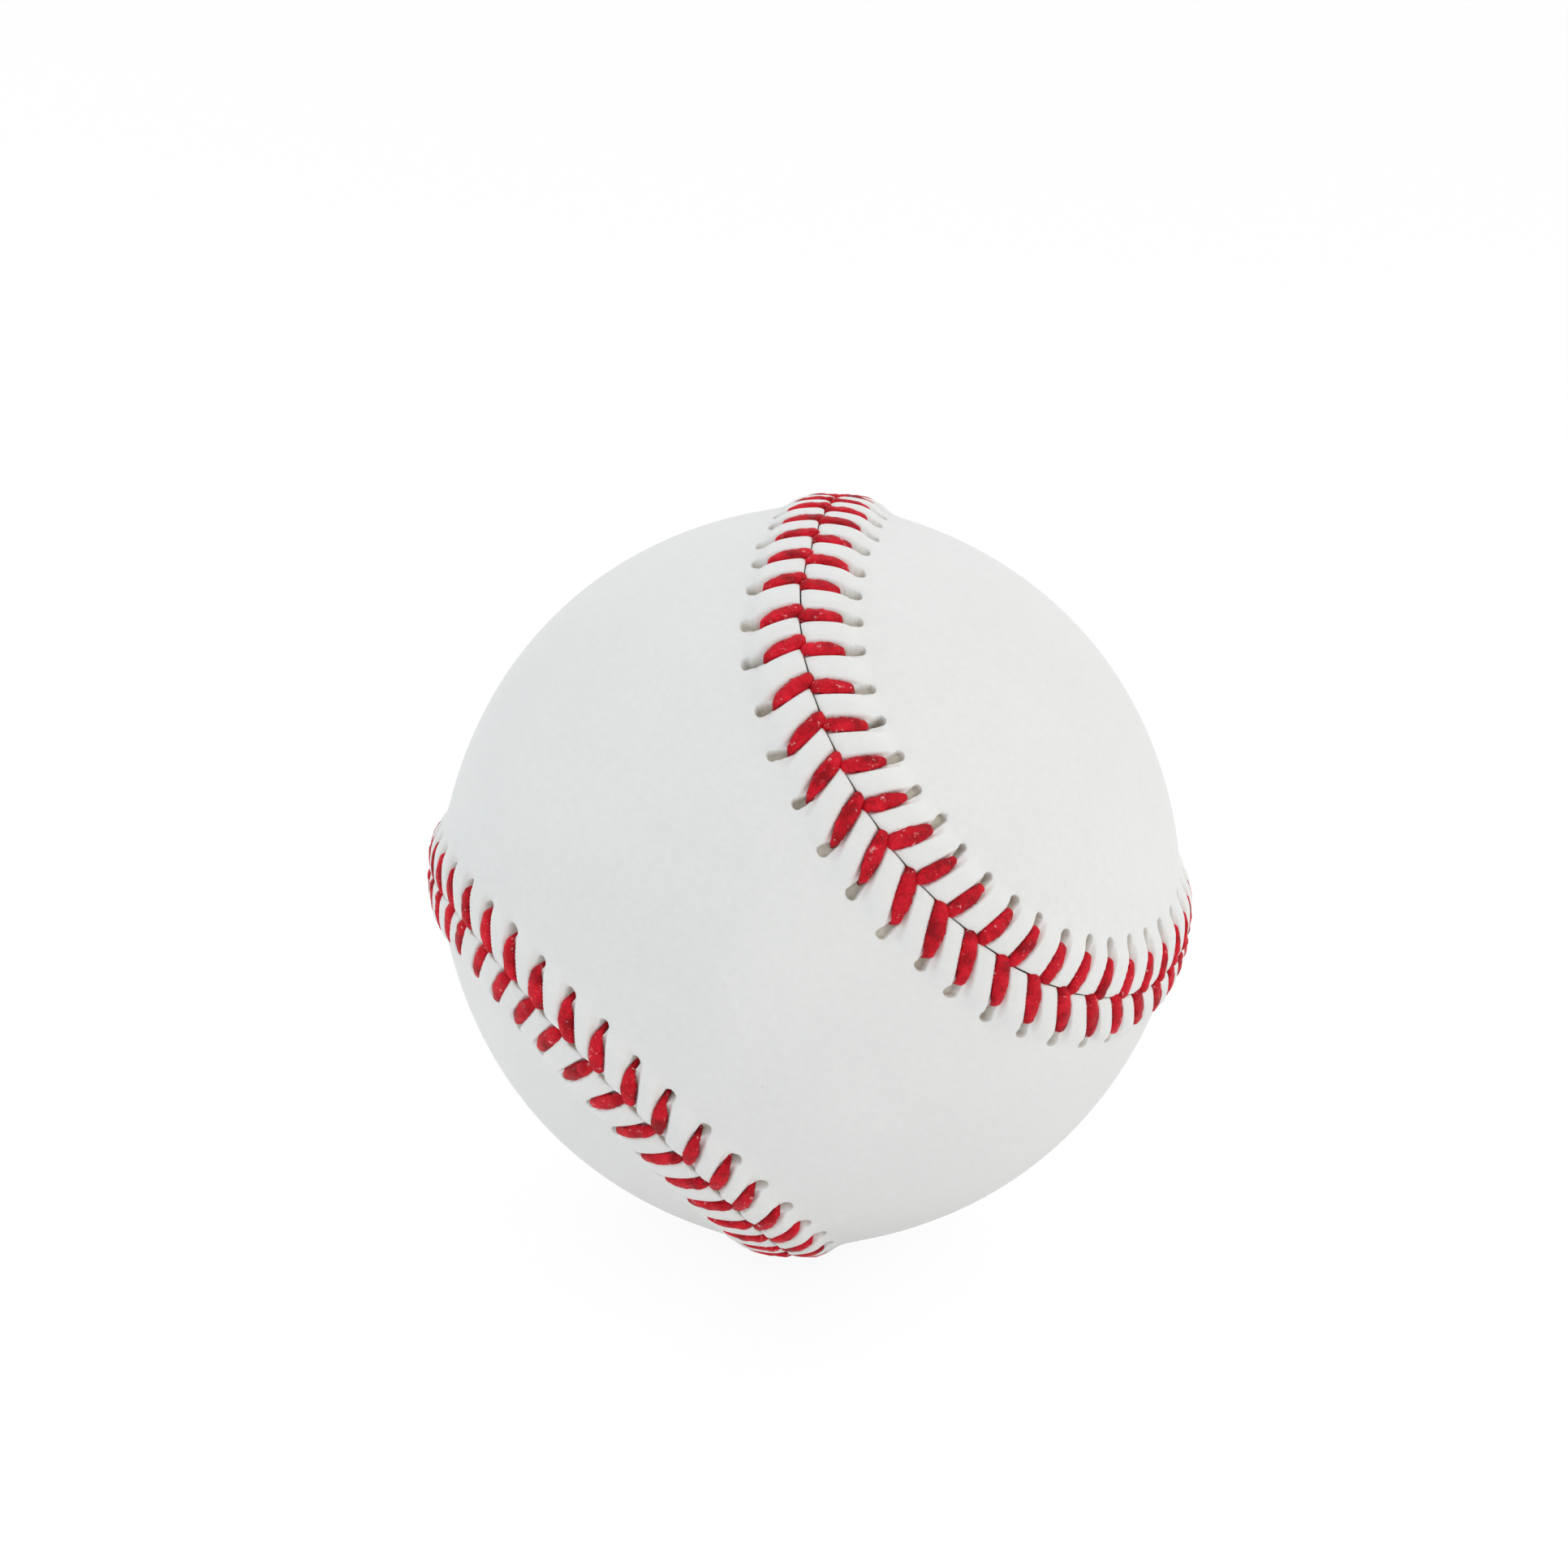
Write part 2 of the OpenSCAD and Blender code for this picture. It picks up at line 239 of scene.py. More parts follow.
def stitch_of(s, c, side):
    """Number of the nearest stitch, and the distance along the seam from its leg."""
    share = np.clip(1 - c / HOLE_C, LEG_BEYOND_SHARE, 1.0)
    v = variety[side]
    run = foot_shift(side)
    first = np.round((s - run * share) / PITCH + 0.5).astype(int)
    nearest, best = first, np.full(np.shape(first), FAR)
    for j in (first - 1, first, first + 1):
        jm = np.mod(j, STITCHES)
        across = s - (j - 0.5) * PITCH - v["shift"][jm] - (run + v["lead"][jm]) * share
        nearer = np.abs(across) < np.abs(best)
        nearest, best = np.where(nearer, j, nearest), np.where(nearer, across, best)
    return np.mod(nearest, STITCHES), best


def relief(s, c, side):
    """Height of a panel's top face, without its holes."""
    jm, across = stitch_of(s, c, side)
    v = variety[side]
    lean = np.cos(np.arctan((foot_shift(side) + v["lead"][jm]) / HOLE_C))
    d = np.abs(across) * lean
    groove = 1 - smooth(GROOVE_FLOOR, GROOVE_RIM, d)
    groove = groove * smooth(GROOVE_END_C, GROOVE_FULL_C, c) * (
        GROOVE_EDGE_SHARE + (1 - GROOVE_EDGE_SHARE) * smooth(0.0, GROOVE_EDGE_C, c))
    phase = np.clip(d / (PITCH / 2), 0, 1)
    pillow = (PILLOW_H * v["pillow"][jm] * smooth(PILLOW_FOOT, PILLOW_TOP, phase)
              * smooth(PILLOW_END_C, PILLOW_FULL_C, c))
    ripple = RIPPLE_H * np.cos(2 * np.pi * across / PITCH) * bell(c - RIPPLE_C, RIPPLE_REACH)
    return swell(c) - ripple + (lip(c) + pillow) * (1 - GROOVE_SHARE * groove)


def hole_depth(s, c, side):
    """How far inside a hole each place lies, from 0 to 1, the dimple of the leather round
    the hole, from 0 to 1, and the height of the hole's floor."""
    v = variety[side]
    j = np.round(s / PITCH + 0.5).astype(int)
    off = s - (j - 0.5) * PITCH - v["shift"][np.mod(j, STITCHES)]
    j = j - (off < -PITCH / 2)
    jm = np.mod(j, STITCHES)
    r = v["hole_r"][jm]
    centre = v["hole_end"][jm] - r
    neck_c = NECK_C + v["start"][jm]
    # Half width: a pointed tip, then the neck, which widens up to a round end
    t = np.clip((c - neck_c) / (centre - neck_c), 0, 1)
    half = NECK_HALF + (r - NECK_HALF) * t
    half = np.where(c < neck_c, NECK_HALF - TIP_SLOPE * (neck_c - c), half)
    across = s - (j - 0.5) * PITCH - v["shift"][jm] + v["hole_lean"][jm] * (c - neck_c)
    out = np.where(c > centre, np.hypot(across, c - centre) - r, np.abs(across) - half)
    inside = smooth(WALL_OUT, WALL_IN, out)
    dimple = bell(np.clip(out, 0, None), DIMPLE_REACH)
    return inside, dimple, v["hole_floor"][jm]


def drift_wave(s):
    return np.cos(2 * np.pi * (s - DRIFT_S) / LENGTH)


def seam_drift(s):
    """How far the seam is drawn towards the front panel."""
    return DRIFT + DRIFT_WAVE * drift_wave(s)


def seam_wander(s):
    """Where the cut edges meet, measured towards the front panel. The edges drift across
    between two stitches and step back at each stitch."""
    t = np.mod(s / PITCH - STEP_START, 1)
    reach = STEP + STEP_WAVE * drift_wave(s)
    return seam_drift(s) + reach * (t * (1 - smooth(STEP_TURN, 1.0, t)) - STEP_MIDDLE)


# The leather

# Columns of one stitch's length of leather, closer together over the hole
HOLE_SPAN = 1.1
columns = np.concatenate([
    np.linspace(-PITCH / 2, -HOLE_SPAN, 5)[:-1], np.linspace(-HOLE_SPAN, HOLE_SPAN, 31)[:-1],
    np.linspace(HOLE_SPAN, PITCH / 2, 5)[:-1]])
# Half of the gap between the cut edges, and rows from the edge outwards, closer together
# at the edge and over the hole
GAP_HALF = 0.06
EDGE_END, HOLE_FROM, HOLE_TO, BAND_END = 0.3, 3.3, 5.45, 6.6
rows = np.concatenate([
    np.linspace(0.0, EDGE_END, 5)[:-1], np.linspace(EDGE_END, HOLE_FROM, 20)[:-1],
    np.linspace(HOLE_FROM, HOLE_TO, 29)[:-1], np.linspace(HOLE_TO, BAND_END, 7)])
# Coarser rows further out, and how many columns of the band become one column there
coarse_rows = np.array([7.2, 7.9, 8.7, 9.6])
GROUP = 9
# Depths of two rows on the cut edge under its top, from the core up, and height of its foot
EDGE_DEPTHS = (0.6, 0.2)
EDGE_FOOT_H = -1.38
# The dimple round a hole, and where it sets in
DIMPLE_H, DIMPLE_FROM_C, DIMPLE_FULL_C = 0.10, 3.4, 4.2
# Reach of the seam's wander into the leather
WANDER_REACH = 1.1
# A row of faces on the plain lip, which shows which way round all the faces are
SAMPLE_ROW = 20
# Points over the whole ball that fill the plain leather, and their least distance to the
# last row
FILL_POINTS = 26000
FILL_GAP = 0.45
# The fill keeps to the inside of the last row, and joins points that are as near as this
INSIDE, JOINED = 1, 1e-7
# Step of the points that stand for the seam line, directions compared at a time, and the
# step inwards that tells one panel's side from the other's
LINE_STEP = 0.25
CHUNK = 500
INWARDS = 1.0
# Dye rubbed off beside a leg: half width of the leg, reach beyond it, and where it ends
DYE_FROM, DYE_REACH, DYE_FULL_C, DYE_END_C = 0.35, 0.3, 3.6, 4.6


def new_mesh(name, verts, faces, material):
    mesh = bpy.data.meshes.new(name)
    mesh.from_pydata((np.asarray(verts) * MM).tolist(), [], faces)
    mesh.update()
    mesh.polygons.foreach_set("use_smooth", np.ones(len(mesh.polygons), bool))
    obj = bpy.data.objects.new(name, mesh)
    bpy.context.scene.collection.objects.link(obj)
    mesh.materials.append(material)
    return obj


def paint(obj, name, values):
    """Keeps a value for each vertex with the mesh, for the material. It is 0 past the end of
    the values."""
    padded = np.zeros(len(obj.data.vertices), np.float32)
    padded[:len(values)] = values
    layer = obj.data.attributes.new(name, "FLOAT", "POINT")
    layer.data.foreach_set("value", padded)


def faces_out(verts, face):
    """Whether a face's front looks away from the ball's middle."""
    a, b, d = verts[face[0]], verts[face[1]], verts[face[-1]]
    return np.dot(np.cross(b - a, d - a), a) > 0


line_s = np.arange(0, LENGTH, LINE_STEP)
line = seam_direction(line_s, 0.0)


def nearest_on_seam(directions):
    """Number of the nearest point of the seam line, and the distance to it over the ball."""
    nearest, most = [], []
    for start in range(0, len(directions), CHUNK):
        dots = directions[start:start + CHUNK] @ line.T
        nearest.append(dots.argmax(axis=1))
        most.append(dots.max(axis=1))
    return (np.concatenate(nearest),
            BALL_R * np.arccos(np.clip(np.concatenate(most), -1, 1)))


def panel_band(s, side):
    """The leather along the seam, as a grid of rows from the core up the cut edge and then
    outwards: its vertices, and the dye and the bare flesh side that each of them shows."""
    c = rows[:, None] + GAP_HALF
    ss = np.broadcast_to(s, (len(rows), len(s)))
    cc = np.broadcast_to(c, (len(rows), len(s)))
    top = relief(ss, cc, side)
    inside, dimple, floor_h = hole_depth(ss, cc, side)
    top = top - DIMPLE_H * dimple * smooth(DIMPLE_FROM_C, DIMPLE_FULL_C, cc)
    h = top * (1 - inside) + floor_h * inside
    wander = seam_wander(ss) * np.exp(-cc / WANDER_REACH)
    edge_c = side * GAP_HALF + seam_wander(s)
    edge_heights = [np.full(len(s), EDGE_FOOT_H)] + [top[0] - depth for depth in EDGE_DEPTHS]
    grid = [seam_place(s, edge_c, edge_h) for edge_h in edge_heights]
    verts = np.concatenate(grid + [seam_place(ss, side * cc + wander, h).reshape(-1, 3)])
    across = stitch_of(ss, cc, side)[1]
    lean = math.cos(math.atan(foot_shift(side) / HOLE_C))
    dye = (bell(np.clip(np.abs(across) * lean - DYE_FROM, 0, None), DYE_REACH)
           * smooth(DYE_END_C, DYE_FULL_C, cc))
    edge = len(edge_heights) * len(s)
    dye = np.concatenate([np.zeros(edge), np.clip(dye, 0, 1).ravel()])
    flesh = np.concatenate([np.ones(edge), inside.ravel()])
    return verts, dye, flesh


def fill_directions(side):
    """Evenly spread directions over the plain middle of a panel, on a golden spiral."""
    spiral = np.arange(FILL_POINTS)
    y = 1 - 2 * (spiral + 0.5) / FILL_POINTS
    turn = spiral * math.pi * (3 - math.sqrt(5))
    r = np.sqrt(1 - y ** 2)
    spread = np.stack([r * np.cos(turn), y, r * np.sin(turn)], axis=-1)
    nearest, reach = nearest_on_seam(spread)
    inwards = seam_direction(line_s, side * INWARDS) - line
    on_side = (spread * inwards[nearest]).sum(axis=1) > 0
    return spread[on_side & (reach > coarse_rows[-1] + FILL_GAP)]


def laid_flat(directions, side):
    """Directions laid out flat by a projection from the far side of the ball."""
    across = np.stack([directions[:, 0], directions[:, 2]], axis=-1)
    return across / (1 - side * directions[:, 1] + TINY)[:, None]


def panel(name, side, material):
    """One leather panel: its band along the seam, coarser rows, and plain leather."""
    s = (np.arange(STITCHES)[:, None] * PITCH - 0.5 * PITCH + columns[None, :]).ravel()
    n = len(s)
    verts, dye, flesh = panel_band(s, side)
    index = np.arange(len(verts)).reshape(-1, n)
    right = np.roll(index, -1, axis=1)
    quads = np.stack([index[:-1], right[:-1], right[1:], index[1:]], axis=-1).reshape(-1, 4)
    if not faces_out(verts, quads[SAMPLE_ROW * n][:3]):
        quads = quads[:, ::-1]
    faces = quads.tolist()
    # The first coarse row takes a group of the band's columns in each face
    outer = []
    s_coarse = s[::GROUP]
    m = len(s_coarse)
    previous = None
    for c in np.repeat(coarse_rows[:, None], m, axis=1):
        here = np.arange(len(verts), len(verts) + m)
        verts = np.concatenate([verts, seam_place(s_coarse, side * c, swell(c) + lip(c))])
        for i in range(m):
            i_next = (i + 1) % m
            if previous is None:
                near_edge = [int(index[-1][(i * GROUP + q) % n]) for q in range(GROUP + 1)]
            else:
                near_edge = [int(previous[i]), int(previous[i_next])]
            outer.append(near_edge + [int(here[i_next]), int(here[i])])
        previous = here
    # The plain leather inside the last row
    rim = verts[previous]
    rim = rim / np.linalg.norm(rim, axis=1)[:, None]
    inner = fill_directions(side)
    flat = np.concatenate([laid_flat(rim, side), laid_flat(inner, side)])
    rim_edges = [(i, (i + 1) % m) for i in range(m)]
    points = [Vector(p) for p in flat.tolist()]
    filled = delaunay_2d_cdt(points, rim_edges, [], INSIDE, JOINED)
    triangles, origins = filled[2], [origin[0] for origin in filled[3]]
    base = len(verts)
    number_of = [int(previous[o]) if o < m else base + o - m for o in origins]
    outer += [[number_of[i] for i in triangle] for triangle in triangles]
    reach = nearest_on_seam(inner)[1]
    verts = np.concatenate([verts, inner * (BALL_R + (swell(reach) + lip(reach)))[:, None]])
    faces += [face if faces_out(verts, face) else face[::-1] for face in outer]
    obj = new_mesh(name, verts, faces, material)
    paint(obj, "dye", dye)
    paint(obj, "raw", flesh)
    return obj


# The thread

# Points of a leg, as shares of its way from the hole to the seam. It stands nearly upright
# up to UPRIGHT, where it has gone on at the given pace, and then bends over the lip.
DENSE_END = 0.16
leg_t = np.concatenate([np.linspace(0, DENSE_END, 10)[:-1], np.linspace(DENSE_END, 1, 27)])
UPRIGHT, UPRIGHT_PACE = 0.14, 0.6
# Distance from a hole's inner end to the leg in it
HOLE_SEAT = 0.08
# The leg's least width and thickness, what its belly adds, how full the belly is, where it
# starts, and how fast it goes through its half wave
LEG_W, LEG_W_BELLY, LEG_T, LEG_T_BELLY, BELLY_POWER = 0.45, 0.96, 0.55, 0.34, 0.8
BELLY_FROM, BELLY_PACE = 0.04, 0.94
# Share of its thickness by which its middle line lies over the ground, the belly's height,
# and the least distance from the cut edge at which the ground is taken
SEAT_SHARE, BELLY_H, GROUND_FROM_C = 0.3, 0.2, 0.02
# The dive into the hole: where it starts and ends, its depth and its shape
DIVE_FROM, DIVE_TO, DIVE_H, DIVE_POWER = 0.15, -0.04, 1.6, 1.2
# Where the leg starts to step ahead and to narrow, and the shape of its drop into the seam
AHEAD_T, PINCH_T, DROP_POWER = 0.75, 0.8, 1.6
# Its end in the seam, which follows the seam's drift, and how far it steps ahead, narrows
# and drops there, for the front panel's legs and the back panel's
leg_ends = {
    1: {"drift": 1.95, "c": -0.4, "ahead": 0.22, "pinch": 0.34, "drop": 0.9, "drop_t": 0.86},
    -1: {"drift": -1.0, "c": -0.3, "ahead": 0.0, "pinch": 0.0, "drop": 0.75, "drop_t": 0.84},
}
# The strand under the leather: its points, its height and its section
under_u = np.linspace(0.12, 0.97, 7)
UNDER_H, UNDER_W, UNDER_T = -0.98, 0.62, 0.4
# The two points between which a leg's slant is taken, the share of it that gives the way
# ahead, and the point where a strand ends
SLANT_FROM, SLANT_TO, SLANT_SHARE, LAST_POINT = 10, 26, 0.01, 39
# The strand's section: its sides, and how square it is across and up
SIDES, SQUARE_ACROSS, SQUARE_UP = 18, 0.8, 0.9
# Shares of its size: the roughness of its edges, which this power keeps to them, the fibres,
# which are smoothed this many times, and the plies, with their count and turn per point
ROUGH_EDGE, EDGE_POWER, ROUGH_FIBRE, SMOOTHINGS = 0.08, 3, 0.09, 3
PLY_H, PLIES, PLY_TURN = 0.035, 3, 0.5
# Loose fibres of a leg: their count, how many are spread over its length, and the points of
# the leg between which these and the others stand
HAIRS, HAIRS_SPREAD, SPREAD_AT, SEAM_AT = 12, 7, (15, 34), (28, 34)
# Radius, points, taper and least and greatest length of a fibre
HAIR_R, HAIR_POINTS, HAIR_TAPER, HAIR_LENGTHS = 0.013, 4, 0.6, (0.15, 0.42)
# Spread of its heading and bend in radians, and its foot's place as a share of the width
HAIR_HEADING, HAIR_BEND, HAIR_FOOT_SHARE = 0.7, 0.5, 0.46
# Its height over its path, its arch, its least height over the leather, and the least
# distance from the cut edge at which the leather is taken
HAIR_OFF, HAIR_ARCH, HAIR_LEAST, HAIR_GROUND_FROM_C = 0.03, 0.1, 0.02, 0.05
# The corners of a triangle round a fibre, level with its middle and up from it
CORNER_LEVEL, CORNER_UP = 0.5, 0.87


def leg_start(side, jm):
    """Place along the seam and distance from it where a leg comes out of its hole."""
    v = variety[side]
    return v["shift"][jm], HOLE_C + HOLE_SEAT + v["start"][jm]


def leg_path(j, side):
    """Middle line of the leg that shows, from inside its hole to the seam line: places,
    widths and thicknesses."""
    v = variety[side]
    end = leg_ends[side]
    jm = j % STITCHES
    t = leg_t
    run = foot_shift(side) + v["lead"][jm]
    shift, start = leg_start(side, jm)
    s0 = (j - 0.5) * PITCH + shift
    end_c = end["drift"] * seam_drift(s0 + run) + end["c"]
    way = UPRIGHT_PACE * np.clip(t, 0, UPRIGHT) + (1 - UPRIGHT_PACE * UPRIGHT) * np.clip(
        (t - UPRIGHT) / (1 - UPRIGHT), 0, 1)
    c = start + (end_c - start) * way
    s = s0 + run * ((start - c) / start) + end["ahead"] * smooth(AHEAD_T, 1, t)
    belly = np.sin(np.pi * np.clip((t - BELLY_FROM) * BELLY_PACE, 0, 1))
    width = (LEG_W + LEG_W_BELLY * belly ** BELLY_POWER) * v["width"][jm]
    width = width * (1 - end["pinch"] * smooth(PINCH_T, 1, t))
    thick = (LEG_T + LEG_T_BELLY * belly ** BELLY_POWER) * v["height"][jm]
    ground = relief(s, np.clip(c, GROUND_FROM_C, None), side)
    h = ground + thick * SEAT_SHARE + BELLY_H * belly
    # Down into the hole at one end and into the seam at the other
    dive = smooth(DIVE_FROM, DIVE_TO, t) ** DIVE_POWER
    h = h - DIVE_H * dive
    s = s - v["tuck"][jm] * dive
    h = h - end["drop"] * smooth(end["drop_t"], 1.0, t) ** DROP_POWER
    return s, side * c, h, width, thick


def strand_path(first_side):
    """Middle line of a strand, which goes from a leg under the leather to the next stitch's
    hole on the other panel, its widths and thicknesses, and the way that it is heading."""
    centre, width, thick, heading = [], [], [], []
    for j in range(STITCHES):
        side = first_side * (1 if j % 2 == 0 else -1)
        s, c, h, w, th = leg_path(j, side)
        shift, start = leg_start(-side, (j + 1) % STITCHES)
        ds = (j + 0.5) * PITCH + shift - s[-1]
        dc = -side * start - c[-1]
        leg = np.tile([s[SLANT_TO] - s[SLANT_FROM], c[SLANT_TO] - c[SLANT_FROM]], (len(s), 1))
        under = np.tile([ds, dc], (len(under_u), 1))
        s, c = np.append(s, s[-1] + ds * under_u), np.append(c, c[-1] + dc * under_u)
        h = np.append(h, np.full(len(under_u), UNDER_H))
        w = np.append(w, np.full(len(under_u), UNDER_W))
        th = np.append(th, np.full(len(under_u), UNDER_T))
        kept = slice(LAST_POINT if j == STITCHES - 1 else None)
        ahead = np.concatenate([leg, under])[kept] * SLANT_SHARE
        s, c, h = s[kept], c[kept], h[kept]
        place = seam_place(s, c, h)
        heading.append(seam_place(s + ahead[:, 0], c + ahead[:, 1], h) - place)
        centre.append(place)
        width.append(w[kept])
        thick.append(th[kept])
    return [np.concatenate(part) for part in (centre, width, thick, heading)]


def strand(name, first_side, material):
    """One unbroken strand, which crosses the seam at every stitch."""
    centre, width, thick, heading = strand_path(first_side)
    n = len(centre)
    along = np.gradient(centre, axis=0)
    along /= np.linalg.norm(along, axis=1)[:, None]
    out = centre / np.linalg.norm(centre, axis=1)[:, None]
    # The flat of the strand faces outwards over the lip, and turns with it where it dives
    flat = np.cross(heading, out)
    flat = flat - along * (flat * along).sum(axis=1)[:, None]
    flat /= np.linalg.norm(flat, axis=1)[:, None]
    up = np.cross(flat, along)
    around = np.linspace(0, 2 * np.pi, SIDES, endpoint=False)
    ca = np.sign(np.cos(around)) * np.abs(np.cos(around)) ** SQUARE_ACROSS
    sa = np.sign(np.sin(around)) * np.abs(np.sin(around)) ** SQUARE_UP
    rough_edge = rng.normal(0, 1, (n, SIDES))
    rough_edge = (rough_edge + np.roll(rough_edge, 1, 0)) * 0.5
    fibre = rng.normal(0, 1, (n, SIDES))
    for _ in range(SMOOTHINGS):
        fibre = (fibre + np.roll(fibre, 1, 0) + np.roll(fibre, -1, 0)) / 3
    edge = np.abs(np.cos(around)) ** EDGE_POWER
    bump = 1 + ROUGH_EDGE * rough_edge * edge[None, :] + ROUGH_FIBRE * fibre
    turn = np.cumsum(np.full(n, PLY_TURN))[:, None]
    twist = 1 + PLY_H * np.sin(PLIES * around[None, :] + turn)
    ring = (flat[:, None, :] * (ca[None, :, None] * (width / 2)[:, None, None])
            + up[:, None, :] * (sa[None, :, None] * (thick / 2)[:, None, None]))
    ring = ring * (bump * twist)[:, :, None]
    verts = (centre[:, None, :] + ring).reshape(-1, 3)
    index = np.arange(n * SIDES).reshape(n, SIDES)
    right = np.roll(index, -1, axis=1)
    quads = np.stack([index[:-1], index[1:], right[1:], right[:-1]], axis=-1).reshape(-1, 4)
    faces = quads.tolist() + [index[0][::-1].tolist(), index[-1].tolist()]
    a, b, d = verts[faces[0][:3]]
    if np.dot(np.cross(b - a, d - a), a - centre[0]) < 0:
        faces = [face[::-1] for face in faces]
    return new_mesh(name, verts, faces, material)


def hair_tube(pts):
    """Vertices of a thin three-sided tube round some points, which tapers to its end."""
    verts = []
    last = len(pts) - 1
    for q, p in enumerate(pts):
        out = p / np.linalg.norm(p)
        level = np.cross(pts[min(q + 1, last)] - pts[max(q - 1, 0)], out)
        level /= np.linalg.norm(level) + TINY
        r = HAIR_R * (1 - HAIR_TAPER * q / last)
        verts += [p + level * r, p - level * r * CORNER_LEVEL + out * r * CORNER_UP,
                  p - level * r * CORNER_LEVEL - out * r * CORNER_UP]
    return verts


def hair_faces(first):
    """Faces of that tube, from the number of its first vertex."""
    faces = []
    for o in range(first, first + 3 * (HAIR_POINTS - 1), 3):
        faces += [[o + e, o + (e + 1) % 3, o + 3 + (e + 1) % 3, o + 3 + e] for e in range(3)]
    end = first + 3 * (HAIR_POINTS - 1)
    return faces + [[first + 2, first + 1, first], [end, end + 1, end + 2]]


def fuzz(name, material):
    """Loose fibres that stand off the edges of the stitches."""
    verts, faces = [], []
    t = np.linspace(0, 1, HAIR_POINTS)
    for side in (1, -1):
        lean = math.atan(foot_shift(side) / HOLE_C)
        for j in range(STITCHES):
            s, c, h, w, _ = leg_path(j, side)
            for hair in range(HAIRS):
                i = int(rng.integers(*(SPREAD_AT if hair < HAIRS_SPREAD else SEAM_AT)))
                edge = rng.choice([-1, 1])
                length = rng.uniform(*HAIR_LENGTHS)
                heading = rng.normal(0, HAIR_HEADING)
                bend = rng.normal(0, HAIR_BEND)
                foot = edge * w[i] * HAIR_FOOT_SHARE
                angle = heading + bend * t
                hs = s[i] + (foot * math.cos(lean) + edge * length * t * np.cos(angle))
                hc = c[i] + (side * foot * math.sin(lean) + length * t * np.sin(angle))
                ground = relief(hs, np.maximum(np.abs(hc), HAIR_GROUND_FROM_C), side)
                lift = np.maximum(h[i] * (1 - t) + ground * t + HAIR_OFF
                                  + HAIR_ARCH * t * (1 - t) * 4, ground + HAIR_LEAST)
                faces += hair_faces(len(verts))
                verts += hair_tube(seam_place(hs, hc, lift))
    return new_mesh(name, np.array(verts), faces, material)


# Materials

BLACK, WHITE = (0, 0, 0), (1, 1, 1)


def new_material(name):
    m = bpy.data.materials.new(name)
    m.use_nodes = True
    nodes, links = m.node_tree.nodes, m.node_tree.links
    return m, nodes, links, nodes["Principled BSDF"]


def object_coords(nodes):
    return nodes.new("ShaderNodeTexCoord").outputs["Object"]


def noise(nodes, links, coords, scale, detail=4.0, roughness=0.55):
    n = nodes.new("ShaderNodeTexNoise")
    n.inputs["Scale"].default_value = scale
    n.inputs["Detail"].default_value = detail
    n.inputs["Roughness"].default_value = roughness
    links.new(coords, n.inputs["Vector"])
    return n.outputs["Fac"]


def cells(nodes, links, coords, scale, feature="F1"):
    n = nodes.new("ShaderNodeTexVoronoi")
    n.feature = feature
    n.inputs["Scale"].default_value = scale
    links.new(coords, n.inputs["Vector"])
    return n.outputs["Distance"]


def ramp(nodes, links, value, *stops):
    r = nodes.new("ShaderNodeValToRGB")
    elements = r.color_ramp.elements
    while len(elements) < len(stops):
        elements.new(0.5)
    for e, (position, colour) in zip(elements, stops):
        e.position = position
        e.color = (*colour, 1)
    links.new(value, r.inputs["Fac"])
    return r.outputs["Color"]


def feed(links, socket, value):
    """Links a node's output to a socket, or sets a constant on it."""
    if hasattr(value, "links"):
        links.new(value, socket)
    else:
        socket.default_value = (*value, 1) if isinstance(value, tuple) else value


def mix(nodes, links, factor, a, b, mode="MIX"):
    m = nodes.new("ShaderNodeMix")
    m.data_type = "RGBA"
    m.blend_type = mode
    for socket, value in (("Factor", factor), ("A", a), ("B", b)):
        feed(links, m.inputs[socket], value)
    return m.outputs["Result"]


def maths(nodes, links, operation, a, b):
    m = nodes.new("ShaderNodeMath")
    m.operation = operation
    feed(links, m.inputs[0], a)
    feed(links, m.inputs[1], b)
    return m.outputs["Value"]


def specks(nodes, links, coords, cell_scale, patch_scale, threshold, size):
    """1 in sparse round specks and 0 elsewhere."""
    centres = cells(nodes, links, coords, cell_scale)
    patches = noise(nodes, links, coords, patch_scale, detail=2)
    over = maths(nodes, links, "SUBTRACT", patches, threshold)
    radius = maths(nodes, links, "MULTIPLY", over, size)
    return maths(nodes, links, "LESS_THAN", centres, radius)


def roughness_from(nodes, links, shader, value, least, most):
    spread = nodes.new("ShaderNodeMapRange")
    links.new(value, spread.inputs["Value"])
    spread.inputs["To Min"].default_value = least
    spread.inputs["To Max"].default_value = most
    links.new(spread.outputs["Result"], shader.inputs["Roughness"])


def bump_from(nodes, links, shader, height, strength, distance):
    bump = nodes.new("ShaderNodeBump")
    bump.inputs["Strength"].default_value = strength
    bump.inputs["Distance"].default_value = distance
    links.new(height, bump.inputs["Height"])
    links.new(bump.outputs["Normal"], shader.inputs["Normal"])


def vertex_value(nodes, name):
    n = nodes.new("ShaderNodeAttribute")
    n.attribute_name = name
    return n.outputs["Fac"]


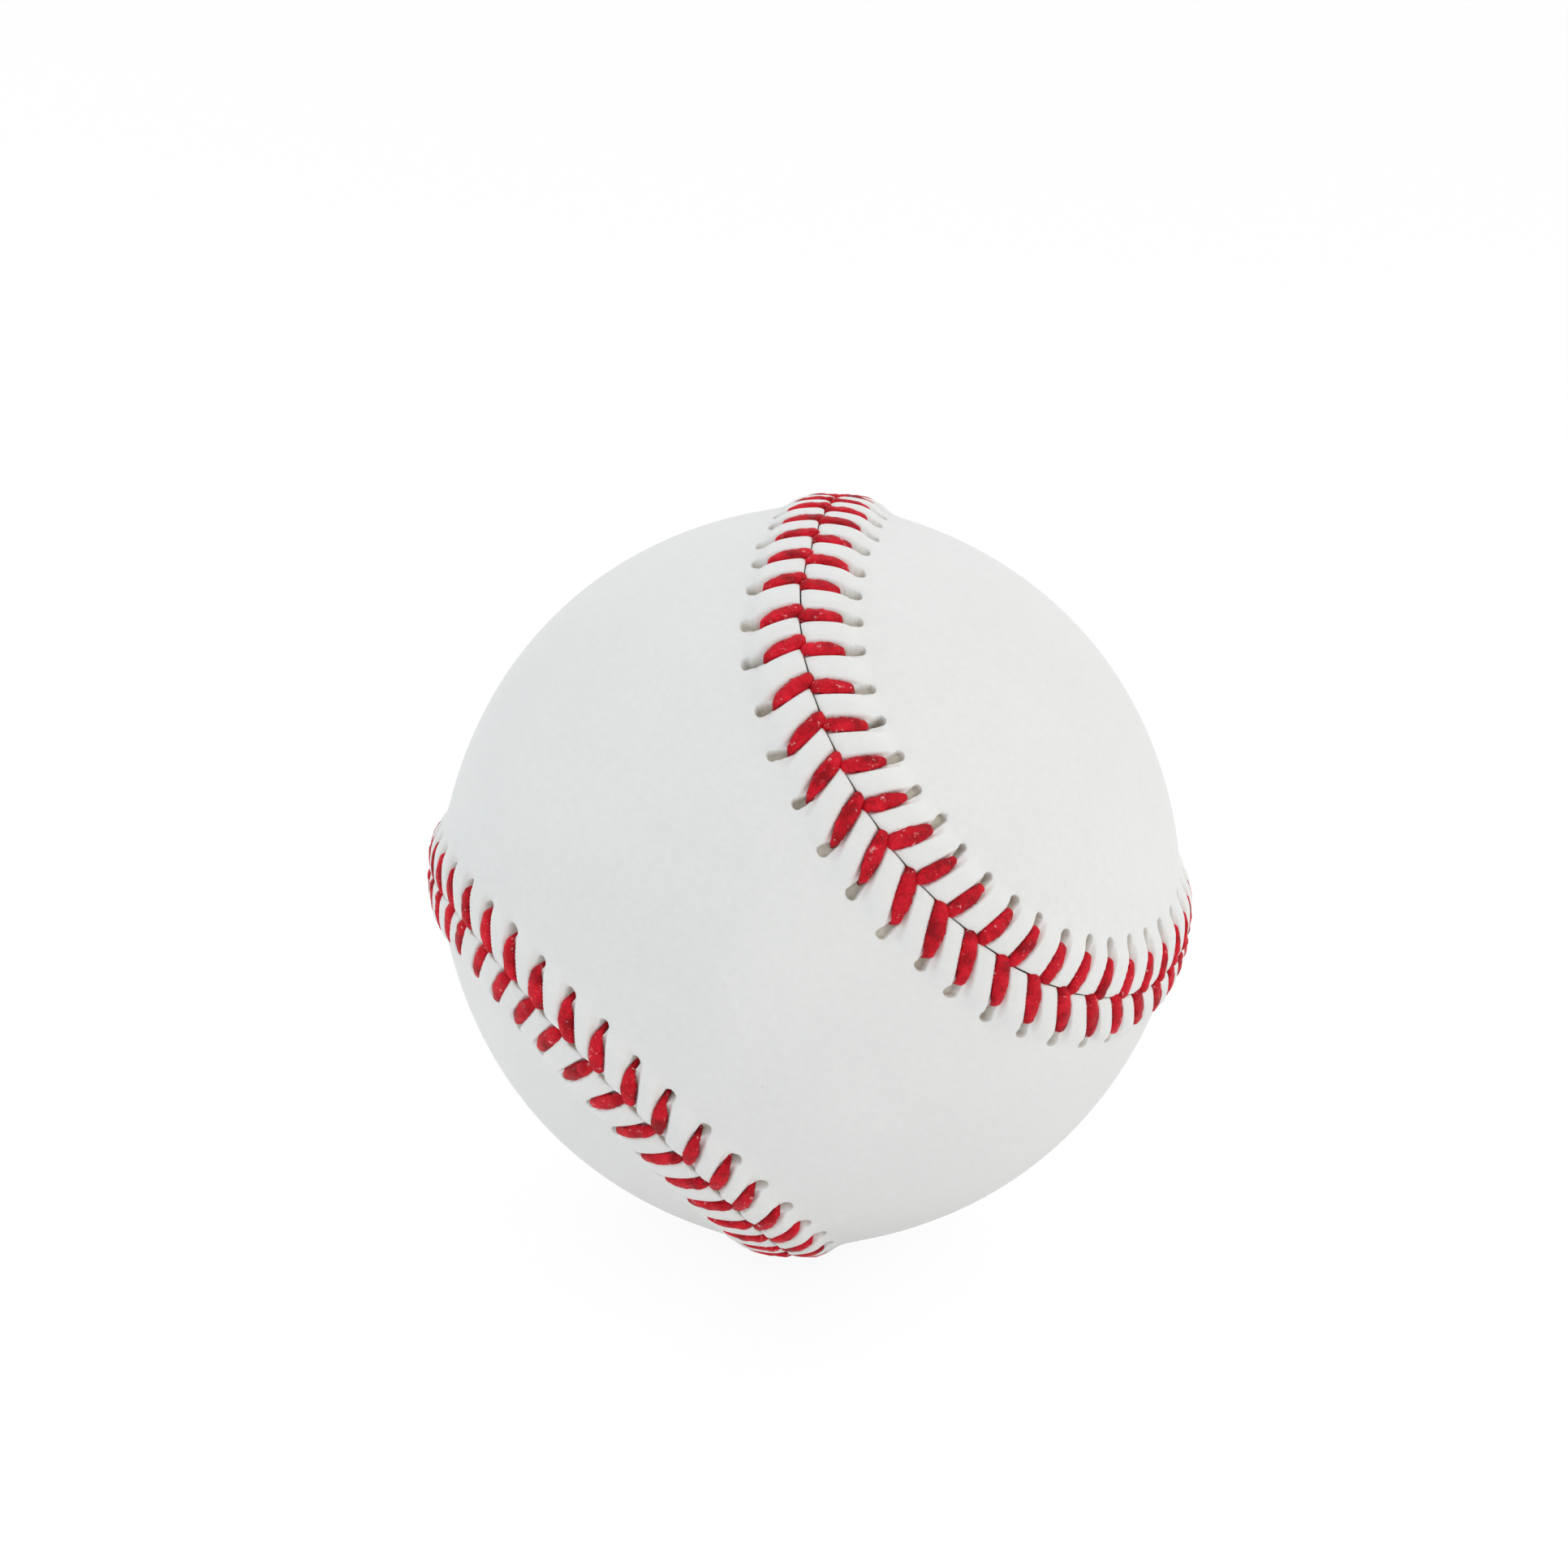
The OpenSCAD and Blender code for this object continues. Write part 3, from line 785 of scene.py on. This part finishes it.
def leather_material():
    m, nodes, links, shader = new_material("white_leather")
    coords = object_coords(nodes)
    colour = ramp(nodes, links, noise(nodes, links, coords, scale=45, detail=3),
                  (0.3, (0.825, 0.825, 0.800)), (0.7, (0.865, 0.862, 0.832)))
    pores = noise(nodes, links, coords, scale=1500, detail=3, roughness=0.6)
    shade = ramp(nodes, links, pores, (0.35, (0.55, 0.57, 0.58)), (0.65, WHITE))
    colour = mix(nodes, links, 0.06, colour, shade, "MULTIPLY")
    dots = specks(nodes, links, coords, cell_scale=260, patch_scale=130, threshold=0.6,
                  size=0.55)
    faint = maths(nodes, links, "MULTIPLY", dots, 0.55)
    colour = mix(nodes, links, faint, colour, (0.42, 0.43, 0.43))
    # Dye rubbed off the thread, in patches
    patches = ramp(nodes, links, noise(nodes, links, coords, scale=420, detail=3),
                   (0.45, BLACK), (0.75, WHITE))
    dyed = maths(nodes, links, "MULTIPLY", vertex_value(nodes, "dye"), patches)
    pale = maths(nodes, links, "MULTIPLY", dyed, 0.3)
    colour = mix(nodes, links, pale, colour, (0.80, 0.50, 0.50))
    # The cut edges and the holes, where the leather isn't dyed white
    flesh = ramp(nodes, links, noise(nodes, links, coords, scale=900, detail=3),
                 (0.3, (0.56, 0.53, 0.44)), (0.7, (0.76, 0.73, 0.65)))
    colour = mix(nodes, links, vertex_value(nodes, "raw"), colour, flesh)
    links.new(colour, shader.inputs["Base Color"])
    roughness_from(nodes, links, shader, pores, least=0.52, most=0.68)
    shader.inputs["Specular IOR Level"].default_value = 0.32
    shader.inputs["Subsurface Weight"].default_value = 0.06
    shader.inputs["Subsurface Radius"].default_value = (0.9, 0.75, 0.65)
    shader.inputs["Subsurface Scale"].default_value = 0.0006
    grain = cells(nodes, links, coords, scale=1700, feature="DISTANCE_TO_EDGE")
    height = maths(nodes, links, "ADD", maths(nodes, links, "MULTIPLY", grain, 0.5),
                   maths(nodes, links, "MULTIPLY", noise(nodes, links, coords, scale=700), 0.8))
    bump_from(nodes, links, shader, height, strength=0.10, distance=0.0002)
    return m


def thread_material(name, scale):
    m, nodes, links, shader = new_material(name)
    coords = object_coords(nodes)
    broad = noise(nodes, links, coords, scale, roughness=0.65)
    colour = ramp(nodes, links, broad, (0.34, (0.33, 0.002, 0.008)),
                  (0.5, (0.66, 0.005, 0.018)), (0.66, (0.86, 0.014, 0.034)))
    fibre = noise(nodes, links, coords, scale=3800, detail=3, roughness=0.7)
    shade = ramp(nodes, links, fibre, (0.3, (0.45, 0.4, 0.4)), (0.7, WHITE))
    colour = mix(nodes, links, 0.6, colour, shade, "MULTIPLY")
    # Pale pink flakes: partly specks of wax on the thread, partly painted highlights that stand
    # in for its shine
    wax_and_highlight_noise = noise(nodes, links, coords, scale=1700, roughness=0.72)
    wax_flakes_and_highlights = ramp(nodes, links, wax_and_highlight_noise, (0.62, BLACK), (0.68, WHITE))
    pale = maths(nodes, links, "MULTIPLY", wax_flakes_and_highlights, 0.65)
    colour = mix(nodes, links, pale, colour, (0.9, 0.52, 0.52))
    links.new(colour, shader.inputs["Base Color"])
    roughness_from(nodes, links, shader, broad, least=0.36, most=0.7)
    shader.inputs["Specular IOR Level"].default_value = 0.15
    height = maths(nodes, links, "ADD", fibre, maths(nodes, links, "MULTIPLY", wax_and_highlight_noise, 1.2))
    bump_from(nodes, links, shader, height, strength=0.5, distance=0.0001)
    return m


def fuzz_material():
    m, nodes, links, shader = new_material("loose_fibre")
    broad = noise(nodes, links, object_coords(nodes), scale=900, detail=2)
    links.new(ramp(nodes, links, broad, (0.35, (0.70, 0.10, 0.13)), (0.65, (0.82, 0.52, 0.52))),
              shader.inputs["Base Color"])
    shader.inputs["Roughness"].default_value = 0.7
    return m


def core_material():
    m, nodes, links, shader = new_material("bonded_core")
    coords = object_coords(nodes)
    crumb = cells(nodes, links, coords, scale=700)
    colour = ramp(nodes, links, crumb, (0.1, (0.60, 0.53, 0.40)), (0.75, (0.44, 0.38, 0.28)))
    dots = specks(nodes, links, coords, cell_scale=420, patch_scale=260, threshold=0.5,
                  size=1.2)
    colour = mix(nodes, links, dots, colour, (0.05, 0.045, 0.04))
    links.new(colour, shader.inputs["Base Color"])
    shader.inputs["Roughness"].default_value = 0.85
    bump_from(nodes, links, shader, crumb, strength=0.4, distance=0.0003)
    return m


# The pieces

leather = leather_material()
red_first = thread_material("waxed_thread_first", scale=500)
red_second = thread_material("waxed_thread_second", scale=540)

front = panel("leather_front", 1, leather)
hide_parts("cover_panel_front")
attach(front, "root")

back = panel("leather_back", -1, leather)
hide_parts("cover_panel_back")
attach(back, "root")

first = strand("thread_first", 1, red_first)
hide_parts("thread_first_needle")
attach(first, "root")

second = strand("thread_second", -1, red_second)
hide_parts("thread_second_needle")
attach(second, "root")

loose = fuzz("thread_fuzz", fuzz_material())
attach(loose, "root")

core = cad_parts["core"]
core.data.materials.clear()
core.data.materials.append(core_material())

# Floor

# The floor touches the seam. It is level up to FLAT_R and then curves up.
FLOOR_Z = -38.25
FLAT_R, CURVE = 1200.0, 0.00055
SPOKES = 96
rings = np.concatenate([np.linspace(20, FLAT_R, 10), np.linspace(1400, 3200, 14)])
verts = [(0.0, 0.0, FLOOR_Z)]
for r in rings:
    z = FLOOR_Z + CURVE * max(r - FLAT_R, 0.0) ** 2
    for a in range(SPOKES):
        t = 2 * math.pi * a / SPOKES
        verts.append((r * math.cos(t), r * math.sin(t), z))
faces = [[0, 1 + a, 1 + (a + 1) % SPOKES] for a in range(SPOKES)]
for i in range(len(rings) - 1):
    o, p = 1 + i * SPOKES, 1 + (i + 1) * SPOKES
    for a in range(SPOKES):
        b = (a + 1) % SPOKES
        faces.append([o + a, p + a, p + b, o + b])


def seen_directly(nodes, links):
    """1 where the camera, a reflection or a clear material looks at a surface."""
    path = nodes.new("ShaderNodeLightPath").outputs
    return maths(nodes, links, "MAXIMUM", path["Is Camera Ray"],
                 maths(nodes, links, "MAXIMUM", path["Is Glossy Ray"],
                       path["Is Transmission Ray"]))


def floor_material():
    """Pale paper that catches the ball's shadow, and is lit up evenly where it is seen."""
    m, nodes, links, shader = new_material("pale_floor")
    shader.inputs["Base Color"].default_value = (0.9, 0.9, 0.9, 1)
    shader.inputs["Roughness"].default_value = 0.9
    shader.inputs["Specular IOR Level"].default_value = 0.1
    glow = nodes.new("ShaderNodeEmission")
    glow.inputs["Strength"].default_value = 1.06
    blend = nodes.new("ShaderNodeMixShader")
    links.new(maths(nodes, links, "MULTIPLY", seen_directly(nodes, links), 0.85),
              blend.inputs["Fac"])
    links.new(shader.outputs["BSDF"], blend.inputs[1])
    links.new(glow.outputs["Emission"], blend.inputs[2])
    links.new(blend.outputs["Shader"], nodes["Material Output"].inputs["Surface"])
    return m


floor = new_mesh("floor", verts, faces, floor_material())


# Light

def area_light(name, place, size, energy, colour):
    data = bpy.data.lights.new(name, "AREA")
    data.shape = "DISK"
    data.size = size
    data.energy = energy
    data.color = colour
    obj = bpy.data.objects.new(name, data)
    obj.location = place
    obj.rotation_mode = "QUATERNION"
    obj.rotation_quaternion = (-Vector(place)).to_track_quat("-Z", "Y")
    bpy.context.scene.collection.objects.link(obj)


area_light("key_upper_right", place=(0.65, -0.45, 0.55), size=0.6, energy=1.72,
           colour=(1.0, 0.98, 0.935))
area_light("fill_left", place=(-0.9, -0.28, 0.18), size=0.7, energy=1.05,
           colour=(0.8, 0.92, 1.0))
area_light("top", place=(0.05, 0.25, 0.9), size=0.6, energy=0.12, colour=(1.0, 0.99, 0.97))

world = bpy.data.worlds.new("studio")
bpy.context.scene.world = world
world.use_nodes = True
wn, wl = world.node_tree.nodes, world.node_tree.links
wn.clear()
ambient = wn.new("ShaderNodeBackground")
ambient.inputs["Color"].default_value = (0.94, 0.957, 0.985, 1)
# Softboxes all round, with less light from the front and below, where the photographer is
where_from = wn.new("ShaderNodeTexCoord")
facing = wn.new("ShaderNodeVectorMath")
facing.operation = "DOT_PRODUCT"
facing.inputs[1].default_value = (0.05, -0.97, -0.22)
wl.new(where_from.outputs["Generated"], facing.inputs[0])
softbox = wn.new("ShaderNodeMapRange")
softbox.inputs["From Min"].default_value = -0.25
softbox.inputs["From Max"].default_value = 0.55
softbox.inputs["To Min"].default_value = 1.25
softbox.inputs["To Max"].default_value = 0.02
wl.new(facing.outputs["Value"], softbox.inputs["Value"])
wl.new(softbox.outputs["Result"], ambient.inputs["Strength"])
white = wn.new("ShaderNodeBackground")
white.inputs["Color"].default_value = (1, 1, 1, 1)
white.inputs["Strength"].default_value = 1.0
blend = wn.new("ShaderNodeMixShader")
output = wn.new("ShaderNodeOutputWorld")
wl.new(seen_directly(wn, wl), blend.inputs["Fac"])
wl.new(ambient.outputs["Background"], blend.inputs[1])
wl.new(white.outputs["Background"], blend.inputs[2])
wl.new(blend.outputs["Shader"], output.inputs["Surface"])

# Camera

# As the photo has it. Angles are in degrees, and the distance is in radii of the ball.
AZIMUTH, ELEVATION, ROLL, DISTANCE = 3.46, 19.52, 3.54, 4.86
azimuth, elevation, roll = math.radians(AZIMUTH), math.radians(ELEVATION), math.radians(ROLL)
towards = Vector((math.sin(azimuth) * math.cos(elevation),
                  -math.cos(azimuth) * math.cos(elevation), math.sin(elevation)))
level = Vector((math.cos(azimuth), math.sin(azimuth), 0))
upright = towards.cross(level)
cam_x = math.cos(roll) * level + math.sin(roll) * upright
cam_y = -math.sin(roll) * level + math.cos(roll) * upright
camera_data = bpy.data.cameras.new("camera")
camera_data.sensor_width = 36
camera_data.lens = 39.9
camera_data.shift_x = -0.0173
camera_data.shift_y = 0.0583
camera_data.clip_start = 0.005
camera_data.clip_end = 20
camera = bpy.data.objects.new("camera", camera_data)
place = towards * (DISTANCE * BALL_R * MM)
turn = Matrix((cam_x, cam_y, towards)).transposed().to_4x4()
camera.matrix_world = Matrix.Translation(place) @ turn
bpy.context.scene.collection.objects.link(camera)
bpy.context.scene.camera = camera
bpy.context.scene.view_settings.view_transform = "Standard"
